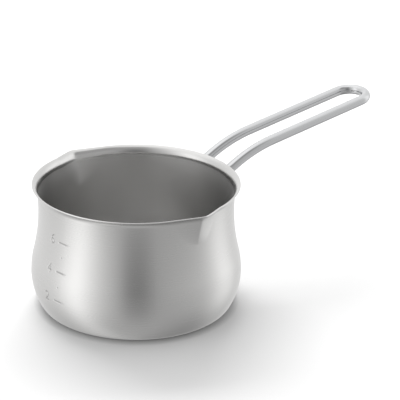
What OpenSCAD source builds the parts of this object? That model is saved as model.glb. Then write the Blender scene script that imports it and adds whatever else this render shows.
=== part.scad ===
// Small pouring pot for melting wax, in the shape of a milk pan.
// Bellied sheet body with two pouring spouts and a stamped volume scale, and a bent rod loop handle.
// Frame: Z is up, the flat base stands on Z = 0 at the origin, the handle runs along +X.

/* [Pot] */
// overall height of the pot at the lip
pot_height = 76.2; // [50:0.1:140]
// largest outer radius, at the belly
belly_r = 62.6; // [40:0.1:110]
// height of the belly above the base
belly_z = 21.5; // [12:0.5:50]
// outer radius of the neck
neck_r = 57.6; // [35:0.1:100]
// height of the narrowest part of the neck
neck_z = 60.5; // [35:0.5:110]
// radius of the curve under the belly
low_r = 38.6; // [20:0.2:90]
// radius of the curve over the belly
high_r = 50; // [25:0.5:120]
// radius of the corner around the flat base
corner_r = 5; // [2:0.2:15]
// radius of the flared lip
flare_r = 5.5; // [3:0.5:20]
// angle the lip is flared to
flare_angle = 68; // [20:1:80]
// thickness of the sheet
sheet = 0.8; // [0.5:0.1:1.5]

/* [Spouts] */
// how far each spout stands out past the lip
spout_reach = 5; // [1:0.1:8]
// height of the fold that runs down from each spout
spout_fold = 19.5; // [8:0.5:30]
// half of the angle that a spout takes up around the lip
spout_half = 16; // [10:0.5:30]
// angle of the first spout around the pot, with the second one opposite
spout_at = 88; // [60:0.5:120]

/* [Scale] */
// depth of the stamped marks
mark_depth = 0.3; // [0.1:0.05:0.5]
// width of the stamped lines
mark_line = 0.55; // [0.3:0.05:1.2]
// height of the digits
digit_h = 5.8; // [3:0.1:10]
// length of the bars beside the digits
bar_len = 5.6; // [3:0.1:10]
// angle of the bars and dots around the pot
bar_at = 183; // [150:0.5:210]
// angle of the digits around the pot
digit_at = 174; // [150:0.5:210]
// height of the 200 ml bar
mark_low = 18.8; // [10:0.1:40]
// height between two steps of 100 ml
mark_step = 8.78; // [4:0.01:20]

/* [Handle] */
// diameter of the handle rod
rod_d = 6.2; // [4:0.1:10]
// distance between the two rods, centre to centre
loop_w = 21.6; // [12:0.1:40]
// slope of the straight part of the handle
arm_slope = 5.8; // [0:0.1:30]
// distance from the pot's axis to the centre of the end bend
arm_end = 175.6; // [90:0.5:260]
// distance from the pot's axis to the start of the straight part
arm_start = 99.5; // [80:0.5:160]
// height of the rod at the start of the straight part
arm_z = 81.7; // [60:0.1:140]
// radius of the long bend near the pot
long_bend = 100; // [40:1:200]
// slope of the rod as it comes out from under the lip
root_slope = 25; // [10:1:60]
// radius of the short bend down onto the neck
short_bend = 10; // [6:0.5:20]
// height of the lower end of each rod foot
foot_z = 54; // [30:0.5:90]

/* [Saddle] */
// outer radius of the saddle plate on the neck
saddle_r = 58.6; // [36:0.1:101]
// width of the saddle plate around the neck
saddle_w = 34; // [20:0.5:60]
// height of the lower edge of the saddle plate
saddle_z = 51.5; // [30:0.5:90]
// height of the saddle plate
saddle_h = 14.5; // [8:0.5:30]
// corner radius of the saddle plate
saddle_corner = 3; // [1:0.5:6]
// depth of the grooves that the rod feet sit in
groove = 0.4; // [0.2:0.1:0.8]
// diameter of each plug weld
plug_d = 3.6; // [2:0.1:6]
// size of the weld bead along each rod foot
bead_r = 1.45; // [0.8:0.05:2.5]

/* [Hidden] */
$fn = 240;
rod_r = rod_d / 2;

// Body profile: a chain of arcs from the flat base to the lip, for any offset into the sheet.
low_c = belly_r - low_r;
high_c = belly_r - high_r;
arc_sum = (pow(belly_r - neck_r, 2) + pow(neck_z - belly_z, 2)) / (2 * (belly_r - neck_r));
waist_r = arc_sum - high_r;
waist_c = neck_r + waist_r;
turn = atan2(neck_z - belly_z, waist_c - high_c);
corner_c = low_c + sqrt(pow(low_r - corner_r, 2) - pow(belly_z - corner_r, 2));
corner_turn = atan2(belly_z - corner_r, corner_c - low_c);
flare_cz = pot_height - (flare_r + sheet) * sin(flare_angle);
flare_in = asin((flare_cz - neck_z) / (waist_r - flare_r));
flare_c = waist_c - (waist_r - flare_r) * cos(flare_in);

function arc(cx, cz, r, a, b, n) =
    [for (i = [0:n]) [cx + r * cos(a + (b - a) * i / n), cz + r * sin(a + (b - a) * i / n)]];
function tail(v) = [for (i = [1:len(v) - 1]) v[i]];
function wall(t) = concat(
    arc(corner_c, corner_r, corner_r - t, -90, -corner_turn, 6),
    tail(arc(low_c, belly_z, low_r - t, -corner_turn, 0, 8)),
    tail(arc(high_c, belly_z, high_r - t, 0, turn, 5)),
    tail(arc(waist_c, neck_z, waist_r + t, 180 + turn, 180 - flare_in, 14)),
    tail(arc(flare_c, flare_cz, flare_r + t, 180 - flare_in, 180 - flare_angle, 8)));
outer = wall(0);
inner = wall(sheet);
last = len(outer) - 1;
lip_mid = (outer[last] + inner[last]) / 2;
lip_edge = [for (i = [1:3]) let (a = flare_angle - 90 + 45 * i)
    lip_mid + sheet / 2 * [sin(flare_angle) * sin(45 * i) + cos(flare_angle) * cos(45 * i),
                           cos(flare_angle) * sin(45 * i) - sin(flare_angle) * cos(45 * i)]];
by_height = [for (p = outer) [p[1], p[0]]];
function wall_r(z) = lookup(z, by_height);
function wall_slope(z) = atan2(wall_r(z + 1) - wall_r(z - 1), 2);
function lower_side(z0, z1) = concat([[wall_r(z0), z0]],
    [for (p = outer) if (p[1] > z0 + 0.05 && p[1] < z1 - 0.05) p], [[wall_r(z1), z1]]);

// Spout wedge: one section per height, each with a blunt tip and two straight sides.
fold_z = pot_height - spout_fold;
function in_fold(v) = [for (p = v) if (p[1] > fold_z) p];
function tip_at(p) = p[0] - 0.3
    + (spout_reach + 0.3) * pow(min(1, (p[1] - fold_z) / spout_fold), 0.8);
function side_at(p) = spout_half * (0.45 + 0.55 * min(1, (p[1] - fold_z) / spout_fold));
function on_side(p, s, f) = let (a = side_at(p), r = p[0] - 0.7, k = tip_at(p))
    [s * f * r * sin(a), k + f * (r * cos(a) - k), p[1]];
function section(p) = [
    [-20, 40, p[1]], on_side(p, -1, 1), on_side(p, -1, 0.07),
    [0, tip_at(p) - 0.12, p[1]],
    on_side(p, 1, 0.07), on_side(p, 1, 1), [20, 40, p[1]]];

// Handle centreline points in the X-Z plane.
foot_x = sqrt(pow(saddle_r + rod_r - groove, 2) - pow(loop_w / 2, 2));
long_cx = arm_start + long_bend * sin(arm_slope);
long_cz = arm_z - long_bend * cos(arm_slope);
root_x = long_cx - long_bend * sin(root_slope);
root_z = long_cz + long_bend * cos(root_slope);
link = (root_x - foot_x - short_bend * (1 - sin(root_slope))) / cos(root_slope);
short_z = root_z - link * sin(root_slope) - short_bend * cos(root_slope);
arm_len = (arm_end - arm_start) / cos(arm_slope);
end_z = arm_z + arm_len * sin(arm_slope);

// ---- helpers ----

module wedge(v, a) {
    rows = [for (p = v) [for (q = section(p))
        [q[0] * cos(a) - q[1] * sin(a), q[0] * sin(a) + q[1] * cos(a), q[2]]]];
    m = len(rows[0]);
    n = len(rows);
    points = [for (row = rows) each row];
    sides = [for (j = [0:n - 2], i = [0:m - 1]) each [
        [j * m + i, (j + 1) * m + (i + 1) % m, (j + 1) * m + i],
        [j * m + i, j * m + (i + 1) % m, (j + 1) * m + (i + 1) % m]]];
    floor_face = [for (i = [m - 1:-1:0]) i];
    roof_face = [for (i = [0:m - 1]) (n - 1) * m + i];
    polyhedron(points, concat(sides, [floor_face], [roof_face]));
}

module ribbon(v, w) {
    n = len(v);
    function dir(i) = let (d = v[min(n - 1, i + 1)] - v[max(0, i)]) d / norm(d);
    function miter(i) = let (
        a = dir(max(0, i - 1)), b = dir(min(n - 2, i)), s = a + b, t = s / norm(s),
        c = t[0] * a[0] + t[1] * a[1]) [-t[1], t[0]] * w / 2 / c;
    polygon(concat([for (i = [0:n - 1]) v[i] + miter(i)],
                   [for (i = [n - 1:-1:0]) v[i] - miter(i)]));
}

module mark(angle, z) {
    rotate([0, 0, angle])
        translate([wall_r(z), 0, z])
            rotate([90, 0, 90])
                rotate([wall_slope(z), 0, 0])
                    translate([0, 0, -mark_depth])
                        linear_extrude(height = 2)
                            children();
}

module digit_six() {
    h = digit_h;
    ribbon(concat([[0.22 * h, 0.45 * h], [0.02 * h, 0.38 * h], [-0.16 * h, 0.2 * h]],
        [for (a = [180:30:480]) [0.25 * h * cos(a), -0.2 * h + 0.25 * h * sin(a)]]), mark_line);
}

module digit_four() {
    h = digit_h;
    ribbon([[0.1 * h, 0.45 * h], [-0.27 * h, -0.15 * h], [0.3 * h, -0.15 * h]], mark_line);
    translate([0.1 * h - mark_line / 2, -0.45 * h])
        square([mark_line, 0.55 * h]);
}

module digit_two() {
    h = digit_h;
    ribbon(concat([for (a = [165:-30:-15]) [0.24 * h * cos(a), 0.2 * h + 0.24 * h * sin(a)]],
        [[0.08 * h, -0.12 * h], [-0.24 * h, -0.43 * h], [0.28 * h, -0.43 * h]]), mark_line);
}

module bar() {
    square([bar_len, mark_line], center = true);
}

module dot() {
    circle(d = 2 * mark_line);
}

module marks() {
    mark(bar_at, mark_low) bar();
    mark(bar_at, mark_low + mark_step) dot();
    mark(bar_at, mark_low + 2 * mark_step) bar();
    mark(bar_at, mark_low + 3 * mark_step) dot();
    mark(bar_at, mark_low + 4 * mark_step) bar();
    mark(digit_at, mark_low + 0.5) digit_two();
    mark(digit_at, mark_low + 0.3 + 2 * mark_step) digit_four();
    mark(digit_at, mark_low + 0.3 + 4 * mark_step) digit_six();
}

module shell() {
    top = [inner[last][0] + 0.6, pot_height + 2];
    difference() {
        union() {
            rotate_extrude()
                polygon(concat([[0, 0]], outer, lip_edge, [inner[last]], [[0, inner[last][1]]]));
            wedge(in_fold(outer), spout_at - 90);
            wedge(in_fold(outer), spout_at + 90);
        }
        union() {
            rotate_extrude()
                polygon(concat([[0, sheet]], inner, [[inner[last][0], 90]], [[0, 90]]));
            wedge(concat(in_fold(inner), [top]), spout_at - 90);
            wedge(concat(in_fold(inner), [top]), spout_at + 90);
        }
    }
}

module foot_hole(side) {
    translate([foot_x, side * loop_w / 2, foot_z])
        cylinder(h = 20, r = rod_r);
}

module wall_core() {
    rotate_extrude()
        polygon(concat([[40, 48]], lower_side(48, 68), [[40, 68]]));
}

module plug(angle, z, grow) {
    rotate([0, 0, angle])
        translate([neck_r - 1, 0, z])
            rotate([0, 90, 0])
                cylinder(h = saddle_r - neck_r + 1 + grow, d = plug_d);
}

module plugs(grow) {
    plug(-3.7, saddle_z + 4, grow);
    plug(3.7, saddle_z + 4, grow);
    plug(-3.7, saddle_z + 10.5, grow);
    plug(3.7, saddle_z + 10.5, grow);
}

module saddle_outline() {
    y = saddle_w / 2 - saddle_corner;
    z = saddle_h / 2 - saddle_corner;
    polygon(concat(arc(y, z, saddle_corner, 0, 90, 6), arc(-y, z, saddle_corner, 90, 180, 6),
        arc(-y, -z, saddle_corner, 180, 270, 6), arc(y, -z, saddle_corner, 270, 360, 6)));
}

module saddle_blank() {
    intersection() {
        rotate([0, 0, -25])
            rotate_extrude(angle = 50)
                polygon(concat(lower_side(saddle_z - 1, saddle_z + saddle_h + 1),
                    [[saddle_r, saddle_z + saddle_h + 1], [saddle_r, saddle_z - 1]]));
        translate([40, 0, saddle_z + saddle_h / 2])
            rotate([90, 0, 90])
                linear_extrude(height = 30)
                    saddle_outline();
    }
}

module bend(x, y, z, r, from, sweep) {
    translate([x, y, z])
        rotate([90, 0, 0])
            rotate([0, 0, from])
                rotate_extrude(angle = sweep)
                    translate([r, 0])
                        circle(r = rod_r);
}

module leg(side) {
    y = side * loop_w / 2;
    translate([foot_x, y, foot_z])
        cylinder(h = short_z - foot_z + 0.3, r = rod_r - 0.02);
    bend(foot_x + short_bend, y, short_z, short_bend, 90 + root_slope, 90 - root_slope);
    translate([root_x - (link + 0.3) * cos(root_slope), y, root_z - (link + 0.3) * sin(root_slope)])
        rotate([0, 90 - root_slope, 0])
            cylinder(h = link + 0.6, r = rod_r - 0.02);
    bend(long_cx, y, long_cz, long_bend, 90 + arm_slope, root_slope - arm_slope);
    translate([arm_start - 0.3 * cos(arm_slope), y, arm_z - 0.3 * sin(arm_slope)])
        rotate([0, 90 - arm_slope, 0])
            cylinder(h = arm_len + 0.6, r = rod_r - 0.02);
}

module bead(side) {
    angle = atan2(loop_w / 2, foot_x) * side;
    low = foot_z - 0.4;
    high = foot_z + 7.5;
    rotate([0, 0, angle])
        translate([saddle_r + 0.3, 0, 0]) {
            for (s = [-1, 1]) {
                translate([0, 2.75 * s, low])
                    cylinder(h = high - low, r = bead_r);
                translate([0, 2.75 * s, low])
                    sphere(r = bead_r + 0.05);
                translate([0, 2.75 * s, high])
                    sphere(r = bead_r + 0.05);
            }
            translate([0, -2.75, low])
                rotate([-90, 0, 0])
                    cylinder(h = 5.5, r = bead_r - 0.05);
        }
}

module weld(side) {
    difference() {
        bead(side);
        translate([foot_x, side * loop_w / 2, foot_z])
            cylinder(h = 20, r = rod_r - 0.02);
        translate([0, 0, 45])
            cylinder(h = 25, r = saddle_r);
    }
}

// ---- sub-parts ----

// Drawn sheet body with the two spouts and the stamped scale.
module pot_body() {
    color([0.78, 0.78, 0.77])
        difference() {
            shell();
            marks();
        }
}

// One round rod bent into a long loop, with both feet turned down along the neck.
module handle_rod() {
    color([0.86, 0.86, 0.87])
        union() {
            leg(1);
            leg(-1);
            translate([arm_end, 0, end_z])
                rotate([0, -arm_slope, 0])
                    rotate([0, 0, -90])
                        rotate_extrude(angle = 180)
                            translate([loop_w / 2, 0])
                                circle(r = rod_r);
        }
}

// Curved plate under the lip that spreads the handle's load over the thin wall.
module handle_saddle() {
    color([0.7, 0.7, 0.7])
        difference() {
            saddle_blank();
            foot_hole(1);
            foot_hole(-1);
            plugs(1);
        }
}

// Weld bead around the rod foot on the left, seen from behind the handle.
module weld_left() {
    color([0.6, 0.6, 0.62])
        weld(1);
}

// Weld bead around the other rod foot.
module weld_right() {
    color([0.6, 0.6, 0.62])
        weld(-1);
}

// Four plug welds that fill the saddle's holes and join it to the wall.
module plug_welds() {
    color([0.55, 0.55, 0.57])
        difference() {
            plugs(0.15);
            wall_core();
        }
}

pot_body();
handle_rod();
handle_saddle();
weld_left();
weld_right();
plug_welds();
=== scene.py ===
import math
import bmesh
import bpy
from mathutils import Matrix, Vector


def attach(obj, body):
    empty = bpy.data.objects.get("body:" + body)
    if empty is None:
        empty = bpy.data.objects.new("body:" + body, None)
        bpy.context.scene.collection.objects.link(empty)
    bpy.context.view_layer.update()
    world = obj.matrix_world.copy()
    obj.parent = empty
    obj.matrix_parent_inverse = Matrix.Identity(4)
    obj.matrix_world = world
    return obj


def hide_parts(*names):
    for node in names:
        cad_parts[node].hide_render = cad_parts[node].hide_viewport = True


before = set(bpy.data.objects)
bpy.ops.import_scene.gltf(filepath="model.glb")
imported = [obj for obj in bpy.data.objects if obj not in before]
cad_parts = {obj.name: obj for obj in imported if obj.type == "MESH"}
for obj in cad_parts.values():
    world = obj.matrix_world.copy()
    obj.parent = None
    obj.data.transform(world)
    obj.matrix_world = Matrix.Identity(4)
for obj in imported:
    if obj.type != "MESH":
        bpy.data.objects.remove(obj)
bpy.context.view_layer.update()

# ---------------------------------------------------------------- camera
# Long lens from in front and above, with the scale side of the pot on the left and the
# handle going away to the right.
handle_turn = math.radians(-39.79)
lens, sensor, clip_near, clip_far = 189.0, 36.0, 0.05, 20.0
camera_right, camera_up = Vector((0.99954, -0.02777, 0.01214)), Vector((-0.00044, 0.38711, 0.92203))
camera_at = Vector((0.0, -1.14264, 0.54451))
turn = Matrix.Rotation(handle_turn, 3, "Z")
camera = bpy.data.objects.new("camera", bpy.data.cameras.new("camera"))
bpy.context.scene.collection.objects.link(camera)
camera.data.sensor_width = sensor
camera.data.lens = lens
camera.data.clip_start, camera.data.clip_end = clip_near, clip_far
right, up = turn @ camera_right, turn @ camera_up
place = Matrix((right, up, right.cross(up))).transposed().to_4x4()
place.translation = turn @ camera_at
camera.matrix_world = place
bpy.context.scene.camera = camera
bpy.context.scene.view_settings.view_transform = "Standard"

# ---------------------------------------------------------------- floor
# Plain pale studio floor, a large matt sheet that runs on behind the pot. Its colour holds a painted
# contact shadow, greyer right under the edge of anything that stands on it; it is clear when seen from
# underneath.
floor_half, floor_drop, floor_white = 1.6, 0.0002, 0.75
painted_shadow_grey, painted_shadow_reach = 0.42, 0.005
floor_mesh = bmesh.new()
bmesh.ops.create_grid(floor_mesh, x_segments=2, y_segments=2, size=floor_half)
bmesh.ops.translate(floor_mesh, verts=floor_mesh.verts, vec=(0, 0, -floor_drop))
floor_data = bpy.data.meshes.new("studio_floor")
floor_mesh.to_mesh(floor_data)
floor_mesh.free()
studio_floor = bpy.data.objects.new("studio_floor", floor_data)
bpy.context.scene.collection.objects.link(studio_floor)
studio_floor.visible_glossy = False
floor_paint = bpy.data.materials.new("floor_paint")
floor_paint.use_nodes = True
floor_nodes = floor_paint.node_tree
floor_shader = floor_nodes.nodes["Principled BSDF"]
floor_shader.inputs["Roughness"].default_value = 0.9
floor_shader.inputs["Specular IOR Level"].default_value = 0.0
# Painted contact shadow: the floor colour goes to grey where something stands close above it.
painted_contact_shadow = floor_nodes.nodes.new("ShaderNodeAmbientOcclusion")
painted_contact_shadow.samples = 8
painted_contact_shadow.inputs["Distance"].default_value = painted_shadow_reach
floor_tone = floor_nodes.nodes.new("ShaderNodeMix")
floor_tone.data_type = "RGBA"
floor_tone.inputs["A"].default_value = (painted_shadow_grey, painted_shadow_grey, painted_shadow_grey, 1)
floor_tone.inputs["B"].default_value = (floor_white, floor_white, floor_white, 1)
floor_side = floor_nodes.nodes.new("ShaderNodeNewGeometry")
clear = floor_nodes.nodes.new("ShaderNodeBsdfTransparent")
one_way = floor_nodes.nodes.new("ShaderNodeMixShader")
for start, end in (
        (painted_contact_shadow.outputs["AO"], floor_tone.inputs["Factor"]),
        (floor_tone.outputs["Result"], floor_shader.inputs["Base Color"]),
        (floor_side.outputs["Backfacing"], one_way.inputs["Fac"]),
        (floor_shader.outputs["BSDF"], one_way.inputs[1]), (clear.outputs["BSDF"], one_way.inputs[2]),
        (one_way.outputs["Shader"], floor_nodes.nodes["Material Output"].inputs["Surface"])):
    floor_nodes.links.new(start, end)
floor_data.materials.append(floor_paint)

# ---------------------------------------------------------------- light
# One soft panel behind the pot and above it, and a white light tent all round. The tent is
# brightest at both sides and overhead, with a dim gap where the camera looks in.
panel_wide, panel_deep, panel_power = 1.1, 0.5, 15.5
panel_at = turn @ Vector((-0.2, 0.88, 1.0))
tent_peak = 3.0
panel_data = bpy.data.lights.new("back_panel", "AREA")
panel_data.shape = "RECTANGLE"
panel_data.size, panel_data.size_y = panel_wide, panel_deep
panel_data.energy = panel_power
panel = bpy.data.objects.new("back_panel", panel_data)
bpy.context.scene.collection.objects.link(panel)
panel.visible_glossy = False
panel.matrix_world = Matrix.Translation(panel_at) @ panel_at.to_track_quat("Z", "Y").to_matrix().to_4x4()

tent = bpy.data.worlds.new("light_tent")
bpy.context.scene.world = tent
tent.use_nodes = True
sky = tent.node_tree
sky.nodes.clear()


def tent_node(kind, **values):
    made = sky.nodes.new(kind)
    for name, value in values.items():
        setattr(made, name, value)
    return made


def tent_ramp(stops):
    made = tent_node("ShaderNodeValToRGB")
    made.color_ramp.interpolation = "B_SPLINE"
    ramp = made.color_ramp
    while len(ramp.elements) > 1:
        ramp.elements.remove(ramp.elements[-1])
    for i, (place_at, value) in enumerate(stops):
        e = ramp.elements[0] if i == 0 else ramp.elements.new(place_at)
        e.position = place_at
        e.color = (value / tent_peak, value / tent_peak, value / tent_peak, 1)
    return made


def compass(*stops):
    """Light levels round the tent: 0 is at the camera, positive to its right, in degrees."""
    return tent_ramp([(degrees / 360 + 0.5, value) for degrees, value in stops])


def climb(*stops):
    """How much of a layer shows at each height, from -90 straight down to 90 straight up."""
    return tent_ramp([(math.sin(math.radians(degrees)) / 2 + 0.5, value) for degrees, value in stops])


direction = tent_node("ShaderNodeTexCoord")
face_camera = tent_node("ShaderNodeMapping", vector_type="POINT")
face_camera.inputs["Rotation"].default_value = (0, 0, -handle_turn)
parts = tent_node("ShaderNodeSeparateXYZ")
flip = tent_node("ShaderNodeMath", operation="MULTIPLY")
flip.inputs[1].default_value = -1.0
around = tent_node("ShaderNodeMath", operation="ARCTAN2")
share = tent_node("ShaderNodeMath", operation="MULTIPLY_ADD")
share.inputs[1].default_value = 0.5 / math.pi
share.inputs[2].default_value = 0.5
height = tent_node("ShaderNodeMath", operation="MULTIPLY_ADD")
height.inputs[1].default_value = 0.5
height.inputs[2].default_value = 0.5
# The tent from the bottom up: below the object, the walls, the upper walls, the slope and the roof.
lowest = compass((-180, 0.6), (-150, 0.5), (-105, 0.6), (-72, 1.05), (-45, 0.5), (-14, 0.56), (14, 0.52),
                 (40, 0.5), (90, 0.3), (120, 0.3), (150, 0.45), (180, 0.6))
layers = [
    (climb((-90, 0), (-50, 0), (-26, tent_peak), (90, tent_peak)),
     compass((-180, 1.0), (-125, 0.93), (-98, 0.94), (-84, 1.24), (-68, 1.6), (-54, 1.22), (-38, 0.84),
             (-20, 0.56), (-7, 0.32), (10, 0.32), (22, 0.48), (50, 0.54), (75, 0.64), (92, 0.95), (106, 1.25),
             (122, 1.2), (138, 0.82), (180, 1.0))),
    (climb((-90, 0), (-14, 0), (0, tent_peak), (90, tent_peak)),
     compass((-180, 1.2), (-125, 0.95), (-98, 0.95), (-84, 1.28), (-68, 1.66), (-54, 1.24), (-38, 0.82),
             (-20, 0.52), (-7, 0.17), (8, 0.17), (22, 0.46), (50, 0.6), (75, 0.72), (92, 1.0), (106, 1.46),
             (122, 1.36), (138, 0.85), (180, 1.2))),
    (climb((-90, 0), (34, 0), (50, tent_peak), (90, tent_peak)),
     compass((-180, 1.5), (-110, 1.4), (-72, 1.25), (-45, 0.92), (-25, 0.58), (-12, 0.33), (15, 0.35),
             (40, 0.34), (70, 0.22), (86, 0.45), (96, 0.95), (130, 1.15), (180, 1.35))),
    (climb((-90, 0), (70, 0), (82, tent_peak), (90, tent_peak)),
     compass((-180, 1.35), (180, 1.35)))]
glow = tent_node("ShaderNodeBackground")
glow.inputs["Strength"].default_value = tent_peak
out = tent_node("ShaderNodeOutputWorld")
for start, end in (
        (direction.outputs["Generated"], face_camera.inputs["Vector"]),
        (face_camera.outputs["Vector"], parts.inputs[0]), (parts.outputs["Y"], flip.inputs[0]),
        (parts.outputs["X"], around.inputs[0]), (flip.outputs[0], around.inputs[1]),
        (around.outputs[0], share.inputs[0]), (parts.outputs["Z"], height.inputs[0]),
        (share.outputs[0], lowest.inputs["Fac"]), (glow.outputs[0], out.inputs["Surface"])):
    sky.links.new(start, end)
lit = lowest.outputs["Color"]
for rise_share, ring_of_light in layers:
    sky.links.new(height.outputs[0], rise_share.inputs["Fac"])
    sky.links.new(share.outputs[0], ring_of_light.inputs["Fac"])
    blend = tent_node("ShaderNodeMix", data_type="RGBA")
    sky.links.new(rise_share.outputs["Color"], blend.inputs["Factor"])
    sky.links.new(lit, blend.inputs["A"])
    sky.links.new(ring_of_light.outputs["Color"], blend.inputs["B"])
    lit = blend.outputs["Result"]
sky.links.new(lit, glow.inputs["Color"])

# ---------------------------------------------------------------- pot body
# One sheet of stainless steel, 0.8 mm thick, drawn and spun into a bellied body with a narrow
# neck and a flared lip. The spouts are pressed into the lip and the scale is stamped.
MM = 0.001  # sizes are given in millimetres
pot_height, sheet = 76.2, 0.8
belly_r, belly_z, neck_r, neck_z = 62.59, 21.5, 57.85, 60.5
low_r, high_r, corner_r, flare_r = 38.6, 50.0, 5.0, 4.5
flare_angle = math.radians(68)
waist_r = ((belly_r - neck_r) ** 2 + (neck_z - belly_z) ** 2) / (2 * (belly_r - neck_r)) - high_r
low_c, high_c, waist_c = belly_r - low_r, belly_r - high_r, neck_r + waist_r
swing = math.atan2(neck_z - belly_z, waist_c - high_c)
corner_c = low_c + math.sqrt((low_r - corner_r) ** 2 - (belly_z - corner_r) ** 2)
corner_swing = math.atan2(belly_z - corner_r, corner_c - low_c)
flare_z = pot_height - (flare_r + sheet) * math.sin(flare_angle)
flare_in = math.asin((flare_z - neck_z) / (waist_r - flare_r))
flare_c = waist_c - (waist_r - flare_r) * math.cos(flare_in)

pot = bmesh.new()


def draw_arc(point, centre_r, centre_z, angle, steps):
    """Turns the last point of the profile round a centre, leaving an arc of edges."""
    made = bmesh.ops.spin(pot, geom=[point], cent=(centre_r * MM, 0, centre_z * MM), axis=(0, -1, 0),
                          angle=angle, steps=steps, use_merge=False, use_duplicate=False)
    return [e for e in made["geom_last"] if isinstance(e, bmesh.types.BMVert)][0]


def draw_line(point, to_r, to_z):
    made = bmesh.ops.extrude_vert_indiv(pot, verts=[point])["verts"][0]
    made.co = (to_r * MM, 0, to_z * MM)
    return made


point = pot.verts.new((0, 0, 0))
for reach in (8, 22, 36, 46, corner_c):
    point = draw_line(point, reach, 0)
point = draw_arc(point, corner_c, corner_r, math.pi / 2 - corner_swing, 8)
point = draw_arc(point, low_c, belly_z, corner_swing, 54)
point = draw_arc(point, high_c, belly_z, swing, 35)
point = draw_arc(point, waist_c, neck_z, -(swing + flare_in), 98)
point = draw_arc(point, flare_c, flare_z, -(flare_angle - flare_in), 16)
lip_r = flare_c - (flare_r + sheet / 2) * math.cos(flare_angle)
lip_z = flare_z + (flare_r + sheet / 2) * math.sin(flare_angle)
point = draw_arc(point, lip_r, lip_z, math.pi, 6)
point = draw_arc(point, flare_c, flare_z, flare_angle - flare_in, 16)
point = draw_arc(point, waist_c, neck_z, swing + flare_in, 22)
point = draw_arc(point, high_c, belly_z, -swing, 8)
point = draw_arc(point, low_c, belly_z, -corner_swing, 14)
point = draw_arc(point, corner_c, corner_r, -(math.pi / 2 - corner_swing), 8)
for reach in (46, 36, 22, 8, 0):
    point = draw_line(point, reach, sheet)

# Finer columns where the scale is stamped and where the spouts are pressed.
profile = list(pot.edges) + list(pot.verts)
for degrees, steps in ((62, 26), (20, 26), (8, 16), (8, 16), (20, 26), (54, 22), (14, 49), (54, 22),
                       (20, 26), (8, 16), (8, 16), (20, 26), (64, 27)):
    made = bmesh.ops.spin(pot, geom=profile, cent=(0, 0, 0), axis=(0, 0, 1), angle=math.radians(degrees),
                          steps=steps, use_merge=False, use_duplicate=False)
    profile = made["geom_last"]
bmesh.ops.remove_doubles(pot, verts=pot.verts, dist=2e-6)
bmesh.ops.dissolve_degenerate(pot, dist=1e-7, edges=pot.edges)
bmesh.ops.recalc_face_normals(pot, faces=pot.faces)

# The spouts: the lip is pressed out to a blunt V on each side. One side of the V runs straight
# off the round, and the other is shorter and a little hollow.
fold_z, spout_at, fold_inside = 56.5, math.radians(88), 50.0
spout_lean, short_side, tip_round = math.radians(20), math.radians(14.5), math.radians(1.1)
lean_ease, short_ease, short_start, short_hollow, short_peak = 0.42, 0.6, 0.3, 1.2, 0.924
for v in pot.verts:
    x, y, z = v.co / MM
    r = math.hypot(x, y)
    rise = min(1.0, (z - fold_z) / (pot_height - fold_z))
    if rise <= 0 or r < fold_inside:
        continue
    off = (math.atan2(y, x) - spout_at + math.pi / 2) % math.pi - math.pi / 2
    blunt = math.sqrt(off * off + tip_round ** 2)
    lean = spout_lean * rise ** lean_ease
    short = short_side * (short_start + (1 - short_start) * rise ** short_ease)
    grow = 1.0
    if off < 0 and blunt < lean:
        grow = 1 / math.cos(lean - blunt)
    elif off >= 0 and blunt < short:
        tip = 1 / math.cos(lean - tip_round) - 1
        grow = 1 + tip * ((1 - blunt / short) / short_peak) ** short_hollow
    v.co.x *= grow
    v.co.y *= grow

# The stamped scale: digits for hundreds of millilitres with a bar each, dots for the steps between.
digit_h, bar_len, line_w, depth, line_edge, line_soft = 5.8, 5.6, 0.62, 0.3, 0.16, 0.3
bar_at, digit_at, mark_low, mark_step = 183.0, 174.0, 18.8, 8.78


def ring(cx, cy, r, a, b, n):
    """Points on a round part of a digit."""
    return [(cx + r * math.cos(math.radians(a + (b - a) * i / n)),
             cy + r * math.sin(math.radians(a + (b - a) * i / n))) for i in range(n + 1)]


h = digit_h
six = [(0.22 * h, 0.45 * h), (0.02 * h, 0.38 * h), (-0.16 * h, 0.2 * h)]
six += ring(0, -0.2 * h, 0.25 * h, 180, 480, 14)
four = [(0.1 * h, 0.45 * h), (-0.27 * h, -0.15 * h), (0.3 * h, -0.15 * h)]
four_stem = [(0.1 * h, 0.1 * h), (0.1 * h, -0.45 * h)]
two = ring(0, 0.2 * h, 0.24 * h, 165, -15, 8)
two += [(0.08 * h, -0.12 * h), (-0.24 * h, -0.43 * h), (0.28 * h, -0.43 * h)]
bar = [(-bar_len / 2, 0), (bar_len / 2, 0)]
dot = [(-0.12, 0), (0.12, 0)]
stamps = [(bar_at, mark_low, bar), (bar_at, mark_low + mark_step, dot),
          (bar_at, mark_low + 2 * mark_step, bar), (bar_at, mark_low + 3 * mark_step, dot),
          (bar_at, mark_low + 4 * mark_step, bar), (digit_at, mark_low + 0.5, two),
          (digit_at, mark_low + 0.3 + 2 * mark_step, four),
          (digit_at, mark_low + 0.3 + 2 * mark_step, four_stem),
          (digit_at, mark_low + 0.3 + 4 * mark_step, six)]


def away(px, py, line):
    """Distance of a point from a line of short straight pieces."""
    best = math.inf
    for (ax, ay), (bx, by) in zip(line, line[1:]):
        ux, uy = bx - ax, by - ay
        t = max(0.0, min(1.0, ((px - ax) * ux + (py - ay) * uy) / (ux * ux + uy * uy)))
        best = min(best, math.hypot(px - ax - t * ux, py - ay - t * uy))
    return best


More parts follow.
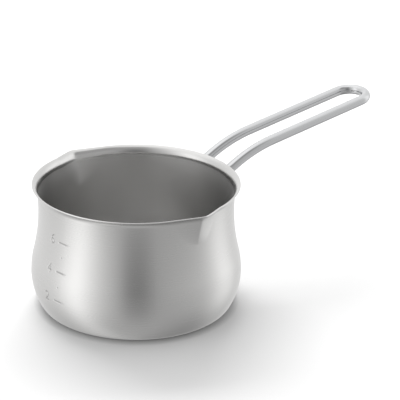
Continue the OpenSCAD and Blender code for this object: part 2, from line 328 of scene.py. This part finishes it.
stamped = pot.verts.layers.float.new("stamped")
for v in pot.verts:
    x, y, z = v.co / MM
    r = math.hypot(x, y)
    if x > -50 or abs(y) > 12 or not 12 < z < 60 or v.normal.x * x + v.normal.y * y < 0:
        continue
    around_pot = math.degrees(math.atan2(y, x)) % 360
    near = math.inf
    for angle, level, line in stamps:
        px, py = math.radians(around_pot - angle) * r, z - level
        if max(abs(px), abs(py)) < digit_h:
            near = min(near, away(px, py, line))
    sunk = max(0.0, min(1.0, (line_w / 2 + line_edge - near) / line_soft))
    if sunk > 0:
        push = depth * sunk * sunk * (3 - 2 * sunk) * MM
        v.co -= v.normal * push
        v[stamped] = sunk

bmesh.ops.recalc_face_normals(pot, faces=pot.faces)
inside = pot.verts.layers.float.new("inside")
lip = pot.verts.layers.float.new("lip")
for v in pot.verts:
    out_dir = Vector((v.co.x, v.co.y, 0)).normalized()
    v[inside] = 1.0 if v.normal.z > v.normal.dot(out_dir) else 0.0
    v[lip] = max(0.0, min(1.0, (v.co.z / MM - 70.0) / 2.0))
pot_data = bpy.data.meshes.new("pot_shell")
pot.to_mesh(pot_data)
pot.free()
for polygon in pot_data.polygons:
    polygon.use_smooth = True
pot_shell = bpy.data.objects.new("pot_shell", pot_data)
bpy.context.scene.collection.objects.link(pot_shell)


def new_socket(group, name, way, kind, value=None):
    made = group.interface.new_socket(name=name, in_out=way, socket_type=kind)
    if value is not None:
        made.default_value = value


# Fine lines left by brushing or drawing: streaks that run long one way and are close together
# across it, for any steel here. Gives a tone, a roughness and a height.
brushed = bpy.data.node_groups.new("brushed_lines", "ShaderNodeTree")
new_socket(brushed, "Place", "INPUT", "NodeSocketVector")
new_socket(brushed, "Lines", "INPUT", "NodeSocketFloat", 1500.0)
new_socket(brushed, "Drift", "INPUT", "NodeSocketFloat", 25.0)
new_socket(brushed, "Smooth", "INPUT", "NodeSocketFloat", 0.25)
new_socket(brushed, "Uneven", "INPUT", "NodeSocketFloat", 0.08)
new_socket(brushed, "Tone", "OUTPUT", "NodeSocketFloat")
new_socket(brushed, "Roughness", "OUTPUT", "NodeSocketFloat")
new_socket(brushed, "Height", "OUTPUT", "NodeSocketFloat")


def join(tree, *pairs):
    for start, end in pairs:
        tree.links.new(start, end)


def math_node(tree, operation, a=None, b=None, c=None, clamp=False):
    made = tree.nodes.new("ShaderNodeMath")
    made.operation = operation
    made.use_clamp = clamp
    for socket, value in zip(made.inputs, (a, b, c)):
        if isinstance(value, (int, float)):
            socket.default_value = value
        elif value is not None:
            tree.links.new(value, socket)
    return made.outputs[0]


given = brushed.nodes.new("NodeGroupInput")
given_out = brushed.nodes.new("NodeGroupOutput")
split = brushed.nodes.new("ShaderNodeSeparateXYZ")
stretch = brushed.nodes.new("ShaderNodeCombineXYZ")
lines = brushed.nodes.new("ShaderNodeTexNoise")
lines.inputs["Scale"].default_value = 1.0
lines.inputs["Detail"].default_value = 3.0
cloud = brushed.nodes.new("ShaderNodeTexNoise")
cloud.inputs["Scale"].default_value = 55.0
cloud.inputs["Detail"].default_value = 2.0
join(brushed, (given.outputs["Place"], split.inputs[0]), (given.outputs["Place"], cloud.inputs["Vector"]),
     (stretch.outputs[0], lines.inputs["Vector"]))
for letter, spacing in (("X", "Drift"), ("Y", "Drift"), ("Z", "Lines")):
    spread = math_node(brushed, "MULTIPLY", split.outputs[letter], given.outputs[spacing])
    join(brushed, (spread, stretch.inputs[letter]))
streak = math_node(brushed, "SUBTRACT", lines.outputs["Fac"], 0.5)
patch = math_node(brushed, "SUBTRACT", cloud.outputs["Fac"], 0.5)
both = math_node(brushed, "MULTIPLY_ADD", patch, 0.5, streak)
toned = math_node(brushed, "MULTIPLY_ADD", both, given.outputs["Uneven"], 1.0)
dulled = math_node(brushed, "ADD", math_node(brushed, "MULTIPLY", both, given.outputs["Uneven"]),
                   given.outputs["Smooth"])
join(brushed, (toned, given_out.inputs["Tone"]), (dulled, given_out.inputs["Roughness"]),
     (lines.outputs["Fac"], given_out.inputs["Height"]))

# Satin stainless steel: brushed round and round, smoother on the lip, rougher inside, and rougher in the
# stamped lines. Its colour holds painted shade: darker inside the pot and much darker in the stamped lines.
satin = bpy.data.materials.new("satin_steel")
satin.use_nodes = True
wires = satin.node_tree
steel = wires.nodes["Principled BSDF"]
steel.inputs["Metallic"].default_value = 1.0
steel.inputs["Anisotropic"].default_value = 0.8
steel.inputs["Anisotropic Rotation"].default_value = 0.25
around_axis = wires.nodes.new("ShaderNodeTangent")
around_axis.direction_type = "RADIAL"
around_axis.axis = "Z"
where = wires.nodes.new("ShaderNodeTexCoord")
where_parts = wires.nodes.new("ShaderNodeSeparateXYZ")
across = wires.nodes.new("ShaderNodeCombineXYZ")
flat = wires.nodes.new("ShaderNodeVectorMath")
flat.operation = "MULTIPLY"
flat.inputs[1].default_value = (1, 1, 0)
reach = wires.nodes.new("ShaderNodeVectorMath")
reach.operation = "LENGTH"
grain = wires.nodes.new("ShaderNodeGroup")
grain.node_tree = brushed
grain.inputs["Lines"].default_value = 3200.0
grain.inputs["Drift"].default_value = 12.0
grain.inputs["Smooth"].default_value = 0.27
grain.inputs["Uneven"].default_value = 0.022
join(wires, (around_axis.outputs["Tangent"], steel.inputs["Tangent"]),
     (where.outputs["Object"], flat.inputs[0]),
     (flat.outputs["Vector"], reach.inputs[0]), (where.outputs["Object"], where_parts.inputs[0]),
     (where_parts.outputs["X"], across.inputs["X"]), (where_parts.outputs["Y"], across.inputs["Y"]),
     (math_node(wires, "ADD", where_parts.outputs["Z"], reach.outputs["Value"]), across.inputs["Z"]),
     (across.outputs[0], grain.inputs["Place"]))
marks = {}
for name in ("stamped", "inside", "lip"):
    marks[name] = wires.nodes.new("ShaderNodeAttribute")
    marks[name].attribute_name = name
# Painted shade: the inside of the pot is given a darker steel colour.
tone = math_node(wires, "MULTIPLY", grain.outputs["Tone"],
                 math_node(wires, "MULTIPLY_ADD", marks["inside"].outputs["Fac"], -0.09, 1.0))
# Painted shade: the stamped grooves are given a much darker steel colour, standing in for shade in them.
tone = math_node(wires, "MULTIPLY", tone,
                 math_node(wires, "MULTIPLY_ADD", marks["stamped"].outputs["Fac"], -0.36, 1.0))
steel_colour_and_painted_shade = wires.nodes.new("ShaderNodeMix")
steel_colour_and_painted_shade.data_type = "RGBA"
steel_colour_and_painted_shade.blend_type = "MULTIPLY"
steel_colour_and_painted_shade.inputs["Factor"].default_value = 1.0
steel_colour_and_painted_shade.inputs["A"].default_value = (0.66, 0.656, 0.648, 1)
rough = math_node(wires, "MULTIPLY_ADD", marks["lip"].outputs["Fac"], -0.1, grain.outputs["Roughness"])
rough = math_node(wires, "MULTIPLY_ADD", marks["stamped"].outputs["Fac"], 0.2, rough)
below_lip = math_node(wires, "MULTIPLY", marks["inside"].outputs["Fac"],
                      math_node(wires, "SUBTRACT", 1.0, marks["lip"].outputs["Fac"]))
rough = math_node(wires, "MULTIPLY_ADD", below_lip, 0.1, rough)
bump = wires.nodes.new("ShaderNodeBump")
bump.inputs["Strength"].default_value = 0.01
bump.inputs["Distance"].default_value = 0.0002
join(wires, (tone, steel_colour_and_painted_shade.inputs["B"]), (steel_colour_and_painted_shade.outputs["Result"], steel.inputs["Base Color"]),
     (rough, steel.inputs["Roughness"]), (grain.outputs["Height"], bump.inputs["Height"]),
     (bump.outputs["Normal"], steel.inputs["Normal"]))
pot_data.materials.append(satin)
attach(pot_shell, "root")
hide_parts("pot_body")

# ---------------------------------------------------------------- handle rod
# One polished stainless rod, 6.2 mm thick, bent into a long loop. Both feet turn down along
# the neck, where they are welded to the saddle.
rod_r, loop_w, arm_slope, arm_end, arm_start, arm_z = 3.08, 21.6, math.radians(5.8), 175.6, 99.5, 81.7
long_bend, root_slope, short_bend, foot_z, saddle_r, groove = 100.0, math.radians(25), 10.0, 54.0, 58.6, 0.4
end_ease = 0.35
foot_x = math.sqrt((saddle_r + rod_r - groove) ** 2 - (loop_w / 2) ** 2)
long_cx = arm_start + long_bend * math.sin(arm_slope)
long_cz = arm_z - long_bend * math.cos(arm_slope)
root_x = long_cx - long_bend * math.sin(root_slope)
root_z = long_cz + long_bend * math.cos(root_slope)
link = (root_x - foot_x - short_bend * (1 - math.sin(root_slope))) / math.cos(root_slope)
short_z = root_z - link * math.sin(root_slope) - short_bend * math.cos(root_slope)
arm_len = (arm_end - arm_start) / math.cos(arm_slope)
end_z = arm_z + arm_len * math.sin(arm_slope)
rod_side = loop_w / 2

rod = bmesh.new()
end_face = bmesh.ops.create_circle(rod, cap_ends=True, segments=40, radius=(rod_r - end_ease) * MM)["verts"]
bmesh.ops.translate(rod, verts=end_face, vec=Vector((foot_x, rod_side, foot_z)) * MM)
front = list({e for v in end_face for e in v.link_edges})


def run_on(front, dx, dz, steps, grow=1.0):
    """Carries the open end of the rod straight on, in one or more steps."""
    for i in range(steps):
        made = bmesh.ops.extrude_edge_only(rod, edges=front)["geom"]
        verts = [g for g in made if isinstance(g, bmesh.types.BMVert)]
        bmesh.ops.translate(rod, verts=verts, vec=Vector((dx, 0, dz)) * MM / steps)
        if grow != 1.0:
            middle = sum((v.co for v in verts), Vector()) / len(verts)
            bmesh.ops.scale(rod, verts=verts, vec=(grow, grow, 1), space=Matrix.Translation(-middle))
        front = [g for g in made if isinstance(g, bmesh.types.BMEdge) and all(v in verts for v in g.verts)]
    return front


def bend_on(front, centre, axis, angle, steps):
    """Carries the open end of the rod round a bend."""
    open_end = front + list({v for e in front for v in e.verts})
    made = bmesh.ops.spin(rod, geom=open_end, cent=Vector(centre) * MM, axis=axis, angle=angle, steps=steps,
                          use_merge=False, use_duplicate=False)
    return [g for g in made["geom_last"] if isinstance(g, bmesh.types.BMEdge)]


front = run_on(front, 0, end_ease, 1, rod_r / (rod_r - end_ease))
front = run_on(front, 0, short_z - foot_z - end_ease, 4)
front = bend_on(front, (foot_x + short_bend, rod_side, short_z), (0, 1, 0), math.pi / 2 - root_slope, 14)
front = run_on(front, link * math.cos(root_slope), link * math.sin(root_slope), 2)
front = bend_on(front, (long_cx, rod_side, long_cz), (0, 1, 0), root_slope - arm_slope, 20)
front = run_on(front, arm_end - arm_start, end_z - arm_z, 24)
front = bend_on(front, (arm_end, 0, end_z), (-math.sin(arm_slope), 0, math.cos(arm_slope)), -math.pi / 2, 18)
half_rod = list(rod.verts) + list(rod.edges) + list(rod.faces)
bmesh.ops.mirror(rod, geom=half_rod, axis="Y", merge_dist=1e-5)
bmesh.ops.remove_doubles(rod, verts=rod.verts, dist=2e-6)
bmesh.ops.recalc_face_normals(rod, faces=rod.faces)
rod_data = bpy.data.meshes.new("handle_loop")
rod.to_mesh(rod_data)
rod.free()
for polygon in rod_data.polygons:
    polygon.use_smooth = True
handle_loop = bpy.data.objects.new("handle_loop", rod_data)
bpy.context.scene.collection.objects.link(handle_loop)

# Colours that welding heat leaves round a spot: grey at the spot, then blue, brown and straw,
# the same on both sides of the handle. Gives a tone to multiply the steel's colour by.
heat = bpy.data.node_groups.new("heat_colours", "ShaderNodeTree")
new_socket(heat, "Place", "INPUT", "NodeSocketVector")
new_socket(heat, "Spot", "INPUT", "NodeSocketVector")
new_socket(heat, "Reach", "INPUT", "NodeSocketFloat", 0.006)
new_socket(heat, "Colour", "OUTPUT", "NodeSocketColor")
given = heat.nodes.new("NodeGroupInput")
given_out = heat.nodes.new("NodeGroupOutput")
one_side = heat.nodes.new("ShaderNodeVectorMath")
one_side.operation = "ABSOLUTE"
gap = heat.nodes.new("ShaderNodeVectorMath")
gap.operation = "DISTANCE"
blotch = heat.nodes.new("ShaderNodeTexNoise")
blotch.inputs["Scale"].default_value = 350.0
colours = heat.nodes.new("ShaderNodeValToRGB")
colours.color_ramp.elements[0].color = (0.62, 0.6, 0.58, 1)
colours.color_ramp.elements[1].color = (1, 1, 1, 1)
for stop, colour in ((0.22, (0.66, 0.7, 0.8, 1)), (0.4, (0.84, 0.76, 0.72, 1)),
                     (0.62, (0.98, 0.93, 0.82, 1))):
    colours.color_ramp.elements.new(stop).color = colour
join(heat, (given.outputs["Place"], one_side.inputs[0]), (one_side.outputs["Vector"], gap.inputs[0]),
     (given.outputs["Spot"], gap.inputs[1]), (given.outputs["Place"], blotch.inputs["Vector"]),
     (colours.outputs["Color"], given_out.inputs["Colour"]))
away_from = math_node(heat, "DIVIDE", gap.outputs["Value"], given.outputs["Reach"])
away_from = math_node(heat, "SUBTRACT", away_from, 0.15)
join(heat, (math_node(heat, "MULTIPLY_ADD", blotch.outputs["Fac"], 0.3, away_from), colours.inputs["Fac"]))


def steel_finish(name, colour, lines, drift, smooth, uneven, bump_strength, spots=(), slope=0.0):
    """A steel with brushed or drawn lines, and heat colours round each of its spots."""
    made = bpy.data.materials.new(name)
    made.use_nodes = True
    tree = made.node_tree
    shader = tree.nodes["Principled BSDF"]
    shader.inputs["Metallic"].default_value = 1.0
    place = tree.nodes.new("ShaderNodeTexCoord")
    apart = tree.nodes.new("ShaderNodeSeparateXYZ")
    along = tree.nodes.new("ShaderNodeCombineXYZ")
    fine = tree.nodes.new("ShaderNodeGroup")
    fine.node_tree = brushed
    for key, value in (("Lines", lines), ("Drift", drift), ("Smooth", smooth), ("Uneven", uneven)):
        fine.inputs[key].default_value = value
    tint = tree.nodes.new("ShaderNodeMix")
    tint.data_type = "RGBA"
    tint.blend_type = "MULTIPLY"
    tint.inputs["Factor"].default_value = 1.0
    tint.inputs["A"].default_value = (*colour, 1)
    ridge = tree.nodes.new("ShaderNodeBump")
    ridge.inputs["Strength"].default_value = bump_strength
    ridge.inputs["Distance"].default_value = 0.0002
    if slope:
        level = math_node(tree, "MULTIPLY_ADD", apart.outputs["X"], -math.tan(slope), apart.outputs["Z"])
        level = math_node(tree, "MULTIPLY_ADD", apart.outputs["Y"], 1.6, level)
        join(tree, (apart.outputs["X"], along.inputs["X"]), (level, along.inputs["Z"]))
    else:
        join(tree, *[(apart.outputs[k], along.inputs[k]) for k in "XYZ"])
    join(tree, (place.outputs["Object"], apart.inputs[0]), (along.outputs[0], fine.inputs["Place"]),
         (fine.outputs["Tone"], tint.inputs["B"]), (fine.outputs["Roughness"], shader.inputs["Roughness"]),
         (fine.outputs["Height"], ridge.inputs["Height"]), (ridge.outputs["Normal"], shader.inputs["Normal"]))
    shown = tint.outputs["Result"]
    for spot, spread in spots:
        warm = tree.nodes.new("ShaderNodeGroup")
        warm.node_tree = heat
        warm.inputs["Spot"].default_value = Vector(spot) * MM
        warm.inputs["Reach"].default_value = spread * MM
        layer = tree.nodes.new("ShaderNodeMix")
        layer.data_type = "RGBA"
        layer.blend_type = "MULTIPLY"
        layer.inputs["Factor"].default_value = 1.0
        join(tree, (place.outputs["Object"], warm.inputs["Place"]), (shown, layer.inputs["A"]),
             (warm.outputs["Colour"], layer.inputs["B"]))
        shown = layer.outputs["Result"]
    join(tree, (shown, shader.inputs["Base Color"]))
    return made


polished_rod = steel_finish("polished_rod", (0.58, 0.585, 0.592), lines=2600.0, drift=9.0, smooth=0.1,
                            uneven=0.05, bump_strength=0.03, slope=arm_slope,
                            spots=[((foot_x - rod_r, rod_side, foot_z + 3), 11)])
rod_data.materials.append(polished_rod)
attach(handle_loop, "root")
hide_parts("handle_rod")

# ---------------------------------------------------------------- handle saddle
# A small plate of the same steel, cut with round corners and curved to the neck. It spreads the
# handle's load over the thin wall, and four plug welds fix it through its holes.
saddle_w, saddle_z, saddle_h, saddle_corner, eased, rim_drop, skin = 34.0, 51.5, 14.5, 3.0, 0.3, 0.26, 0.02
across_cuts, up_cuts = 28, 12


def neck_at(z):
    """Outside radius of the neck at a height."""
    return waist_c - math.sqrt(waist_r ** 2 - (z - neck_z) ** 2)


plate = bmesh.new()
half_w, top_z = saddle_w / 2, saddle_z + saddle_h
blank = [plate.verts.new(Vector((0, y, z)) * MM) for y, z in
         ((-half_w, saddle_z), (half_w, saddle_z), (half_w, top_z), (-half_w, top_z))]
plate.faces.new(blank)
bmesh.ops.bevel(plate, geom=blank, offset=saddle_corner * MM, offset_type="OFFSET", affect="VERTICES",
                segments=8, profile=0.5, material=-1)
bmesh.ops.inset_region(plate, faces=plate.faces, thickness=eased * MM, depth=0, use_even_offset=True)
cuts = [((0, (-half_w + saddle_w * step / across_cuts) * MM, 0), (0, 1, 0)) for step in range(1, across_cuts)]
cuts += [((0, 0, (saddle_z + saddle_h * step / up_cuts) * MM), (0, 0, 1)) for step in range(1, up_cuts)]
for cut_at, cut_way in cuts:
    bmesh.ops.bisect_plane(plate, geom=list(plate.verts) + list(plate.edges) + list(plate.faces), dist=1e-6,
                           plane_co=cut_at, plane_no=cut_way)
rim = {v for e in plate.edges if e.is_boundary for v in e.verts}
rim_at = {(round(v.co.y, 7), round(v.co.z, 7)) for v in rim}
lifted = bmesh.ops.extrude_face_region(plate, geom=list(plate.faces))["geom"]
lifted = {g for g in lifted if isinstance(g, bmesh.types.BMVert)}
for v in plate.verts:
    y, z = v.co.y / MM, v.co.z / MM
    r = neck_at(z) + skin
    if v in lifted:
        r = saddle_r - (rim_drop if (round(v.co.y, 7), round(v.co.z, 7)) in rim_at else 0)
    v.co.x = math.sqrt(r * r - y * y) * MM
bmesh.ops.recalc_face_normals(plate, faces=plate.faces)
plate_data = bpy.data.meshes.new("saddle_plate")
plate.to_mesh(plate_data)
plate.free()
for polygon in plate_data.polygons:
    polygon.use_smooth = len(polygon.vertices) > 3 and abs(polygon.normal.x) > 0.5
saddle_plate = bpy.data.objects.new("saddle_plate", plate_data)
bpy.context.scene.collection.objects.link(saddle_plate)
plug_turn, plug_levels, plug_d = math.radians(3.7), (saddle_z + 4, saddle_z + 10.5), 3.6
plug_spots = [((saddle_r * math.cos(plug_turn), saddle_r * math.sin(plug_turn), z), 3.6) for z in plug_levels]
foot_spots = [((saddle_r, rod_side, z), 6.5) for z in (foot_z + 0.5, foot_z + 5.5)]
plate_data.materials.append(steel_finish("satin_plate", (0.6, 0.597, 0.59), lines=1500.0, drift=20.0,
                                         smooth=0.3, uneven=0.12, bump_strength=0.06,
                                         spots=plug_spots + foot_spots))
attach(saddle_plate, "root")
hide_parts("handle_saddle")

# ---------------------------------------------------------------- plug welds
# Weld metal that fills the four holes of the saddle and stands a little proud, as a low button
# with a small hollow in the middle.
plugs = bmesh.new()
for side in (-1, 1):
    for level in plug_levels:
        button = bmesh.new()
        drop = [button.verts.new(Vector((r, 0, h)) * MM) for r, h in
                ((0, 0.06), (0.35, 0.07), (0.75, 0.13), (1.15, 0.14), (1.5, 0.09), (1.72, 0.02),
                 (plug_d / 2, -0.12), (plug_d / 2, -0.5), (0, -0.5))]
        for low_end, high_end in zip(drop, drop[1:]):
            button.edges.new((low_end, high_end))
        bmesh.ops.spin(button, geom=list(button.edges) + drop, cent=(0, 0, 0), axis=(0, 0, 1),
                       angle=2 * math.pi, steps=32, use_merge=True, use_duplicate=False)
        bmesh.ops.remove_doubles(button, verts=button.verts, dist=2e-6)
        bmesh.ops.recalc_face_normals(button, faces=button.faces)
        stand = Matrix.Rotation(side * plug_turn, 4, "Z")
        stand @= Matrix.Translation((saddle_r * MM, 0, level * MM)) @ Matrix.Rotation(math.pi / 2, 4, "Y")
        bmesh.ops.transform(button, matrix=stand, verts=button.verts)
        keep = bpy.data.meshes.new("button")
        button.to_mesh(keep)
        button.free()
        plugs.from_mesh(keep)
        bpy.data.meshes.remove(keep)
plug_data = bpy.data.meshes.new("plug_buttons")
plugs.to_mesh(plug_data)
plugs.free()
for polygon in plug_data.polygons:
    polygon.use_smooth = True
plug_buttons = bpy.data.objects.new("plug_buttons", plug_data)
bpy.context.scene.collection.objects.link(plug_buttons)
weld_metal = steel_finish("weld_metal", (0.5, 0.495, 0.485), lines=900.0, drift=400.0, smooth=0.34,
                          uneven=0.25, bump_strength=0.25)
plug_data.materials.append(weld_metal)
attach(plug_buttons, "root")
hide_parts("plug_welds")

# ---------------------------------------------------------------- weld beads
# A hand-laid bead of weld metal down one side of each foot, under its end and up the other side.
# Each small ripple is one drop of filler.
bead_r, bead_out, bead_top, ripple, ripple_depth = 1.36, 2.75, foot_z + 7.5, 0.95, 0.09
bead_drop, bead_lift, bead_step, end_share = 1.7, 0.3, 0.16, 0.03
for side, name, node in ((1, "bead_left", "weld_left"), (-1, "bead_right", "weld_right")):
    run = [(bead_out, z) for z in (bead_top, foot_z + 1)]
    run += [(bead_out * math.cos(t) ** 0.5 if math.cos(t) > 0 else -bead_out * (-math.cos(t)) ** 0.5,
             foot_z + 1 - bead_drop * math.sin(t)) for t in [math.pi * k / 24 for k in range(1, 24)]]
    run += [(-bead_out, z) for z in (foot_z + 1, bead_top)]
    spaced = [Vector(run[0])]
    for near_end, far_end in zip(run, run[1:]):
        gap_mm = (Vector(far_end) - Vector(near_end)).length
        pieces = max(1, round(gap_mm / bead_step))
        spaced += [Vector(near_end).lerp(Vector(far_end), (k + 1) / pieces) for k in range(pieces)]
    bead = bmesh.new()
    ring_verts = bmesh.ops.create_circle(bead, cap_ends=True, segments=18, radius=MM)["verts"]
    ring_edges = list({e for v in ring_verts for e in v.link_edges})
    total = sum((b - a).length for a, b in zip(spaced, spaced[1:]))
    done, old = 0.0, None
    foot_turn = Matrix.Rotation(side * math.atan2(rod_side, foot_x), 4, "Z")
    for k, point in enumerate(spaced):
        if k:
            done += (point - spaced[k - 1]).length
            made = bmesh.ops.extrude_edge_only(bead, edges=ring_edges)["geom"]
            ring_verts = [g for g in made if isinstance(g, bmesh.types.BMVert)]
            ring_edges = [g for g in made if isinstance(g, bmesh.types.BMEdge)
                          and all(v in ring_verts for v in g.verts)]
        to = spaced[min(k + 1, len(spaced) - 1)] - spaced[max(k - 1, 0)]
        way = Vector((0, to.x, to.y)).normalized()
        from_end = min(done, total - done)
        thick = bead_r * (1 - ripple_depth * abs(math.sin(math.pi * done / ripple)))
        thick *= math.sqrt(max(end_share, 1 - max(0.0, 1 - from_end / bead_r) ** 2))
        across_axis = Vector((1, 0, 0))
        side_axis = way.cross(across_axis)
        frame_now = Matrix((across_axis * thick, side_axis * thick, way)).transposed().to_4x4()
        frame_now.translation = Vector((saddle_r + bead_lift, point.x, point.y)) * MM
        frame_now = foot_turn @ frame_now
        bmesh.ops.transform(bead, matrix=frame_now @ (old.inverted() if old else Matrix()), verts=ring_verts)
        old = frame_now
    bmesh.ops.contextual_create(bead, geom=ring_edges)
    bmesh.ops.recalc_face_normals(bead, faces=bead.faces)
    bead_data = bpy.data.meshes.new(name)
    bead.to_mesh(bead_data)
    bead.free()
    for polygon in bead_data.polygons:
        polygon.use_smooth = True
    weld_bead = bpy.data.objects.new(name, bead_data)
    bpy.context.scene.collection.objects.link(weld_bead)
    bead_data.materials.append(weld_metal)
    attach(weld_bead, "root")
    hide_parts(node)
